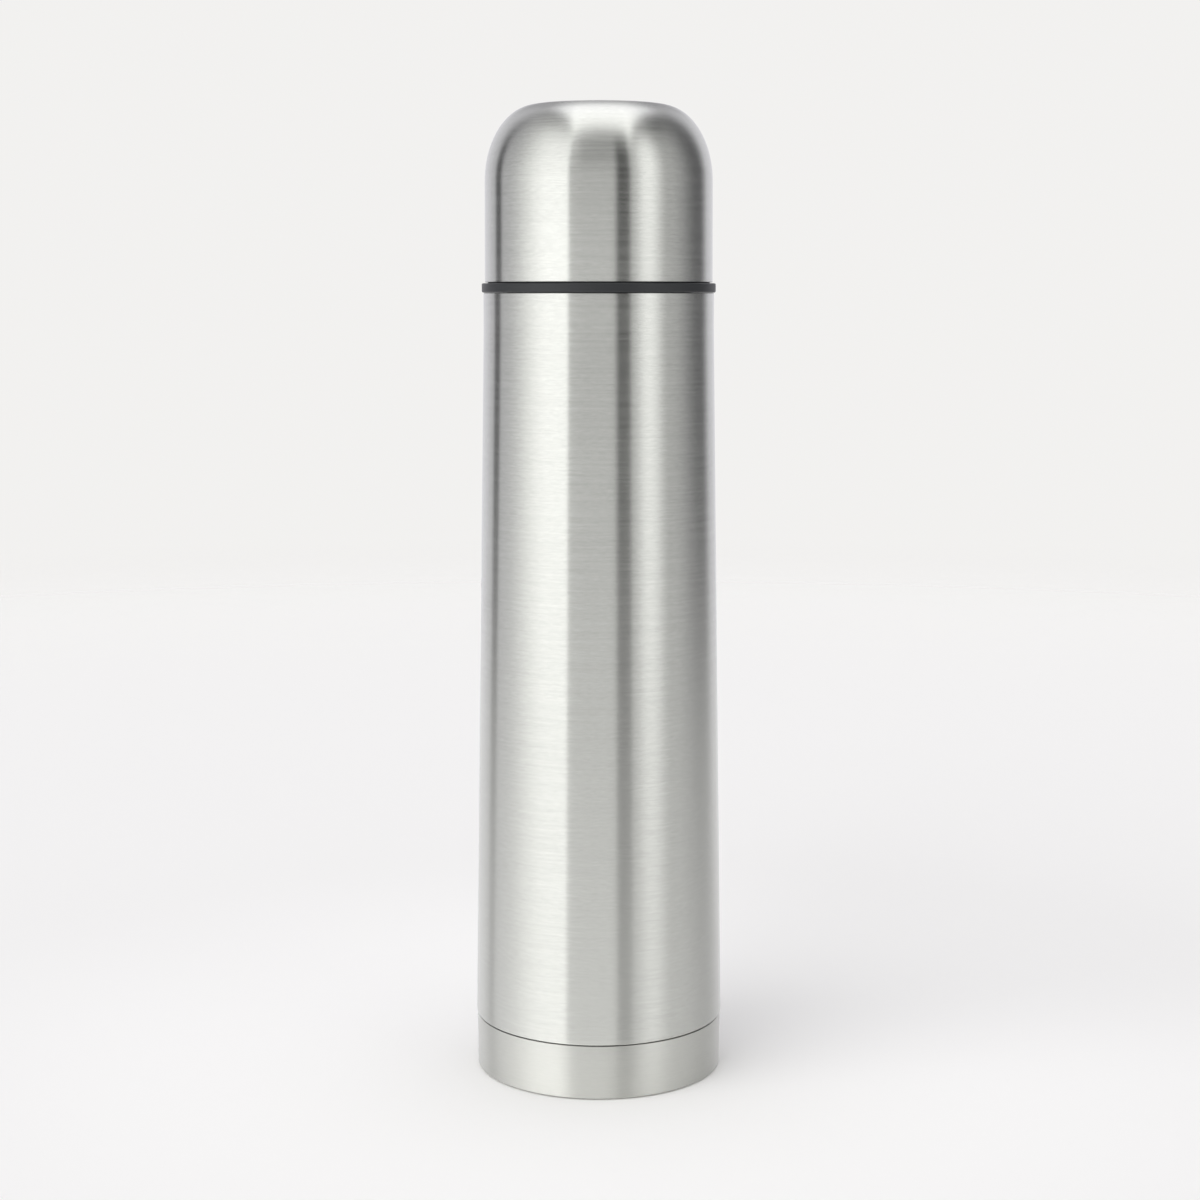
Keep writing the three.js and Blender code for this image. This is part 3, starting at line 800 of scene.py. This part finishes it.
def push_button():
    underside = SPRING_TOP + GAP
    bore_r = STEM_R + 0.4
    boss_r = 5.2
    boss_foot = BUTTON_TOP - 7.6
    profile = [
        (0, BUTTON_TOP - 4.1),
        (bore_r, BUTTON_TOP - 4.1, 0.2),
        (bore_r, boss_foot, 0.2),
        (boss_r, boss_foot, 0.3),
        (boss_r, underside, 0.4),
        (BUTTON_R - 1.3, underside, 0.4),
        (BUTTON_R - 1.3, SKIRT, 0.3),
        (BUTTON_R, SKIRT, 0.3),
        (BUTTON_R, BUTTON_TOP, 1.4),
        (8.5, BUTTON_TOP, 4),
        (6, BUTTON_TOP - 0.9, 6),
        (0, BUTTON_TOP - 1.4),
    ]
    return turned("button_cap", profile, SMALL_SEGMENTS)


def button_spring():
    """A round wire wound five times, with its ends wound close."""
    coil_r = SPRING_R - WIRE_R
    turns = 6.5
    closed = 0.75  # turns wound close at each end
    easing = 0.15  # share of the rise that starts and ends softly
    steps = 260
    around = 10  # sides of the wire
    low = SPRING_FOOT + WIRE_R
    high = SPRING_TOP - WIRE_R
    vertices, faces = [], []
    for i in range(steps + 1):
        lap = turns * i / steps
        angle = TURN * lap
        opened = (lap - closed) / (turns - 2 * closed)
        open_share = ease(opened) * easing + (1 - easing) * min(1, max(0, opened))
        close = 2 * WIRE_R * (min(lap, closed) + max(0, lap - turns + closed))
        z = low + close + (high - low - 4 * WIRE_R * closed) * open_share
        for k in range(around):
            turn = TURN * k / around
            r = coil_r + WIRE_R * math.cos(turn)
            height = z + WIRE_R * math.sin(turn)
            vertices.append((r * math.cos(angle) * MM, r * math.sin(angle) * MM, height * MM))
    for i in range(steps):
        for k in range(around):
            after = (k + 1) % around
            a, b = i * around, (i + 1) * around
            faces.append([a + k, b + k, b + after, a + after])
    faces.append(list(range(around)))
    faces.append(list(reversed(range(steps * around, (steps + 1) * around))))
    return make_object("coil_spring", vertices, faces)


# --- The cup ------------------------------------------------------------------------------

DOME = 294.0
DOME_WIDTH = 16.3
DOME_RISE = CUP_TOP - DOME - 0.2
CUP_SIDE_R = CUP_R - 0.15


def cup_skin(name, inset, wall, foot, foot_r):
    """One skin of the cup, that far inside the cup's outer surface."""
    crown = CUP_TOP - inset

    def dome(depth):
        return arc(CUP_SIDE_R - depth, DOME, DOME_WIDTH - depth, DOME_RISE - depth)

    profile = [(0, crown - wall)]
    profile += list(reversed(dome(inset + wall)))
    profile += [(foot_r - wall, foot, 0.2), (foot_r, foot, 0.2)]
    profile += dome(inset)
    profile += [(0, crown)]
    return turned(name, profile)


def cup_shell():
    return cup_skin("cup_skin", 0, WALL, CUP_LOW, CUP_R)


def cup_liner():
    outer_r, low, high = span("cup_liner")
    return cup_skin("cup_lining", CUP_TOP - high, INNER_WALL, low, outer_r)


def cup_rim_ring():
    flange_top = RING_LOW + 3
    lip_r = NECK_R + GAP
    lip = GASKET_TOP + GAP
    wall_r = CUP_SIDE_R - 0.8
    bore_r = 30.5
    groove_out, groove_in = 34.6, 33
    groove = 273.4
    profile = [
        (bore_r, RING_LOW, 0.8),
        (RING_R, RING_LOW, 0.5),
        (RING_R, flange_top, 0.45),
        (wall_r, flange_top, 0.2),
        (wall_r, RING_TOP - 1.2, 0.3),
        (groove_out, RING_TOP - 1.2, 0.3),
        (groove_out, groove, 0.3),
        (groove_in, groove, 0.3),
        (groove_in, RING_TOP, 0.4),
        (lip_r, RING_TOP, 0.4),
        (lip_r, lip, 0.4),
        (bore_r, lip, 0.4),
    ]
    thread = screw(bore_r, -1.4, RING_THREAD, 1)
    return turned("rim_ring", profile, shape=thread, step=THREAD_STEP)


# --- Every piece, for its CAD node, on its body ----------------------------------------------

fit(outer_shell(), "outer_shell", "flask", STEEL)
fit(inner_vessel(), "inner_vessel", "flask", SATIN)
fit(vessel_bottom(), "vessel_bottom", "flask", SATIN)
fit(copper_foil(), "copper_foil", "flask", COPPER)
fit(outer_bottom(), "outer_bottom", "flask", SATIN)
fit(vacuum_seal(), "vacuum_seal", "flask", GLASS)
fit(getter(), "getter", "flask", POWDER)
fit(getter_clip(), "getter_clip", "flask", WIRE)
fit(base_cup(), "base_cup", "flask", BASE_STEEL)

fit(seal("stopper_gasket", CASE_R + GAP), "stopper_gasket", "stopper_seat", SILICONE)
fit(seal("core_foam", STEM_BORE_R + 1.8), "core_foam", "stopper_core", FOAM)
fit(stopper_body(), "stopper_body", "stopper", BLACK)
fit(stopper_cover(), "stopper_cover", "stopper", BLACK)
fit(core_case(), "core_case", "stopper", GREY)
fit(core_lid(), "core_lid", "stopper", GREY)
fit(seal("stem_seal", STEM_R + 0.4), "stem_seal", "stopper", SILICONE)
fit(valve_seat(), "valve_seat", "stopper", BLACK)
fit(push_button(), "push_button", "button", GREY)
fit(valve_stem(), "valve_stem", "button", WIRE)
fit(valve_disc(), "valve_disc", "button", GREY)
fit(seal("valve_seal", span("valve_disc")[0] - 5.3), "valve_seal", "button", SILICONE)
fit(valve_clip(), "valve_clip", "button", WIRE)
spring = fit(button_spring(), "button_spring", "stopper", WIRE)
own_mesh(spring)

fit(seal("cup_gasket", MOUTH_R + GAP), "cup_gasket", "cup_seat", SILICONE)
fit(seal("liner_seal", span("liner_seal")[0] - 0.8), "liner_seal", "cup_core", SILICONE)
fit(cup_liner(), "cup_liner", "cup", SATIN)
fit(cup_shell(), "cup_shell", "cup", STEEL)
fit(cup_rim_ring(), "cup_rim_ring", "cup", BLACK)


# --- Floor, light and camera ------------------------------------------------------------------

BACKDROP = (0.888, 0.88, 0.868, 1)
FLOOR_NEAR_PAINTED_LIGHT = (0.958, 0.951, 0.937, 1)  # painted light: paler round the foot, to make up for the flask's own shade
FLOOR_FAR = (0.886, 0.879, 0.866, 1)
FLOOR_IN_STEEL = 0.66  # how solid the floor is to the steel that mirrors it


def floor():
    """A round pale floor that fades out into the backdrop."""
    radius = 2.0
    sides = 96
    angles = [TURN * k / sides for k in range(sides)]
    points = [(radius * math.cos(a), radius * math.sin(a), 0) for a in angles]
    made = make_object("floor", points, [list(range(sides))])
    look, nodes, shader = new_material("floor")
    shader.inputs["Roughness"].default_value = 0.9
    shader.inputs["Specular IOR Level"].default_value = 0.0
    place = nodes.add("ShaderNodeTexCoord", "Object")
    away = nodes.add("ShaderNodeVectorMath", "Value", {0: place}, operation="LENGTH")
    solid = nodes.range(away, 0.55, 1.7, 1, 0, True)
    # painted light: the floor is paler round the foot than further out, to make up for the flask's own shade
    beyond_painted_light = nodes.fade(away, 0.08, 0.3)
    pale = nodes.mix(beyond_painted_light, FLOOR_NEAR_PAINTED_LIGHT, FLOOR_FAR)
    nodes.tree.links.new(pale, shader.inputs["Base Color"])
    mirrored = nodes.add("ShaderNodeLightPath", "Is Glossy Ray")
    seen = nodes.range(mirrored, 0, 1, 1, FLOOR_IN_STEEL)
    nodes.tree.links.new(nodes.times(solid, seen), shader.inputs["Alpha"])
    made.data.materials.append(look)


# What stands round the flask in the studio, which the steel mirrors. Each lamp or black card fades in over
# the first two angles and out over the last two, in degrees from straight behind the camera with the left
# negative, and then comes its brightness.
LEFT_SOFTBOX = (-105, -50, -32, -28.5, 1.42)
RIGHT_SOFTBOX = (32, 50, 52, 74, 1.4)
CAMERA_CARD = (14, 21, 29, 34, 0.03)
LEFT_CARD = (-131, -123, -119, -112, 0.1)
RIGHT_CARD = (74, 118, 122, 142, 0.14)
STUDIO = (LEFT_SOFTBOX, RIGHT_SOFTBOX, CAMERA_CARD, LEFT_CARD, RIGHT_CARD)

# Brightness of the rest of it.
ROOM = 0.58
BACKDROP_GLOW = 0.8
OVERHEAD_LAMP = 1.75
FLOOR_BOUNCE = 0.16
AMBIENT = 0.75  # on the floor and the plastics
SOFTBOX = 2.95  # on the floor and the plastics, from the key light's side
KEY_LIGHT = Vector((-0.62, -0.6, 0.56)).normalized()  # the way towards it
COOL = (0.985, 0.975, 1.03, 1)  # cast of what stands beside and behind the flask


def studio_round(nodes, x, y):
    """Brightness at the flask's own height: the room, the glowing backdrop, and the lamps and cards."""
    angle = nodes.math("ARCTAN2", x, nodes.math("MULTIPLY", y, -1))
    behind = nodes.fade(nodes.math("ABSOLUTE", angle), math.radians(125), math.radians(150))
    around = nodes.range(behind, 0, 1, ROOM, BACKDROP_GLOW)
    for start, full, last, end, bright in STUDIO:
        fade_in = nodes.fade(angle, math.radians(start), math.radians(full))
        fade_out = nodes.range(angle, math.radians(last), math.radians(end), 1, 0, True)
        around = nodes.blend(nodes.times(fade_in, fade_out), around, bright)
    return around


def studio_below(nodes, x, y, z, level):
    """The brightness kept or changed below the horizon, where the floor sends most light back on the left
    and in front, and what the floor adds everywhere below."""
    below = nodes.fade(z, 0.0, -0.32)
    sideways = nodes.range(x, 0.12, 0.6, 1.85, 0.66, True)
    backwards = nodes.range(y, 0.1, 0.7, 1, 0.55, True)
    gain = nodes.blend(below, 1.0, nodes.times(sideways, backwards))
    return nodes.times(level, gain), nodes.times(below, FLOOR_BOUNCE)


def studio_above(nodes, x, y, z, level):
    """The brightness with a dim ceiling above the camera, and with the lamp over the flask that the dome
    mirrors."""
    lean = nodes.math("ADD", z, nodes.times(nodes.math("MINIMUM", x, 0), 0.16))
    above = nodes.times(nodes.fade(lean, 0.54, 0.8), nodes.fade(y, 0.5, 0.1))
    ceiling = nodes.range(x, -0.2, 0.4, 0.2, 0.0, True)
    walls = nodes.blend(above, level, ceiling)
    width = nodes.fade(nodes.math("ABSOLUTE", nodes.math("SUBTRACT", x, 0.05)), 0.45, 0.37)
    depth = nodes.times(nodes.fade(y, -0.62, -0.48), nodes.fade(y, 0.62, 0.42))
    lamp = nodes.times(nodes.times(width, depth), nodes.fade(z, 0.5, 0.7))
    return nodes.blend(lamp, walls, OVERHEAD_LAMP)


def light():
    """A softly lit white studio. The steel mirrors its lamps, and the floor and plastics get the same light
    evened out, so that each can be as bright as it should be."""
    world = bpy.data.worlds.new("studio")
    bpy.context.scene.world = world
    world.use_nodes = True
    nodes = Nodes(world.node_tree)
    links = world.node_tree.links
    direction = nodes.add("ShaderNodeTexCoord", "Generated")
    split = nodes.tree.nodes.new("ShaderNodeSeparateXYZ")
    links.new(direction, split.inputs[0])
    x, y, z = split.outputs

    level, bounce = studio_below(nodes, x, y, z, studio_round(nodes, x, y))
    middle = nodes.range(nodes.math("ABSOLUTE", x), 0.38, 0.22, 0, 0.45, True)
    shade = nodes.math("SUBTRACT", 1, nodes.times(middle, nodes.fade(z, 0.24, 0.42)))
    level = nodes.math("ADD", nodes.times(level, shade), bounce)
    mirrored = studio_above(nodes, x, y, z, level)

    sockets = {0: direction, 1: KEY_LIGHT}
    facing = nodes.add("ShaderNodeVectorMath", "Value", sockets, operation="DOT_PRODUCT")
    soft = nodes.range(facing, 0.8, 0.97, AMBIENT, SOFTBOX, True)
    path = nodes.tree.nodes.new("ShaderNodeLightPath")
    grey = nodes.blend(path.outputs["Is Diffuse Ray"], mirrored, soft)
    cast = nodes.mix(nodes.fade(y, -0.3, 0.6), (1, 1, 1, 1), COOL)
    sockets = {0: 1.0, 6: grey, 7: cast}
    lit = nodes.add("ShaderNodeMix", 2, sockets, data_type="RGBA", blend_type="MULTIPLY")
    tint = nodes.mix(path.outputs["Is Camera Ray"], lit, BACKDROP)
    links.new(tint, nodes.tree.nodes["Background"].inputs[0])


def camera():
    lens = bpy.data.cameras.new("camera")
    lens.lens = 68.1
    lens.sensor_width = 36
    made = bpy.data.objects.new("camera", lens)
    made.location = (0.0004, -0.746, 0.2578)
    looking_down = 7.65
    made.rotation_euler = (math.radians(90 - looking_down), 0, 0)
    bpy.context.scene.collection.objects.link(made)
    bpy.context.scene.camera = made


floor()
light()
camera()
bpy.context.scene.view_settings.view_transform = "Standard"
